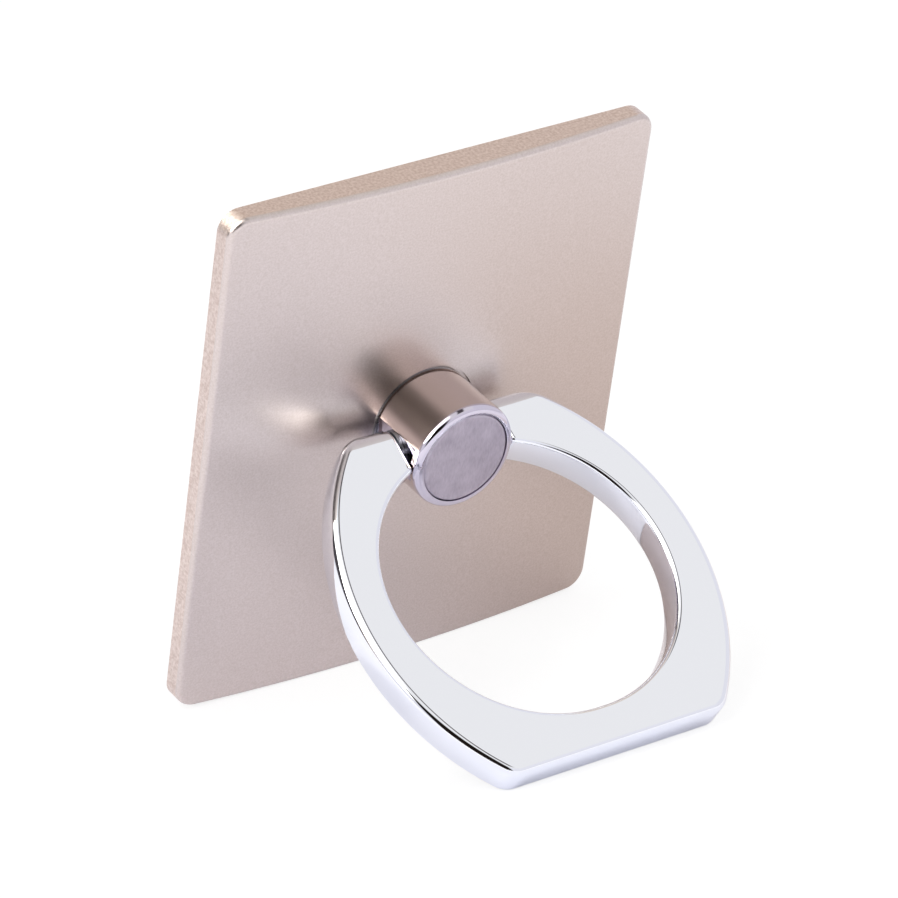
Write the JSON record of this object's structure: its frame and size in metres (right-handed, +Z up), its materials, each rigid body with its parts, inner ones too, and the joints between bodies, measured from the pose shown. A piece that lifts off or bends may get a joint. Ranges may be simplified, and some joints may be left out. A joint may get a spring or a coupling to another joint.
{
  "type": "finger ring phone holder",
  "caption": "Crowned metal plate with an adhesive back, a swivelling post on its front, and a chrome finger ring that folds on the post and props a phone up as a stand.",
  "frame": {"origin": "centre of the holder's footprint on the table: the middle of its bounding box in X and Y, at the level where the plate's lower front edge and the ring's foot rest", "axes": "+Z up; +X across the plate, to the right seen from the ring's side; the ring points to -Y and the adhesive back to +Y. The holder stands as in the picture, its plate leaning 17.1 degrees over the ring"},
  "size_m": [0.035, 0.0298, 0.0389],
  "materials": {
    "plate_finish": "satin champagne coat with a fine metallic grain, on a zinc casting",
    "adhesive_foam": "acrylic foam tape",
    "bare_steel": "plain rolled steel",
    "post_nickel": "turned and nickel plated, satin side with a polished rim",
    "disc_satin": "fine satin",
    "ring_chrome": "polished chrome plate on a zinc casting"
  },
  "bodies": {
    "plate": {"base_plate": "plate_finish", "adhesive_pad": "adhesive_foam", "thrust_washer": "bare_steel"},
    "post": {"swivel_post": "post_nickel", "end_disc": "disc_satin", "spring_washer": "bare_steel", "backing_washer": "bare_steel"},
    "ring": {"finger_ring": "ring_chrome", "hinge_pin": "bare_steel", "friction_washer_left": "bare_steel", "friction_washer_right": "bare_steel"}
  },
  "joints": [
    {"name": "swivel", "type": "hinge", "parent": "plate", "child": "post", "pos_m": [0, 0.00898, 0.01974], "axis": [0, -0.956, -0.2933], "continuous": true},
    {"name": "ring_fold", "type": "hinge", "parent": "post", "child": "ring", "pos_m": [0, 0.00465, 0.01841], "axis": [1, 0, 0], "range_deg": [-116, 64]}
  ]
}
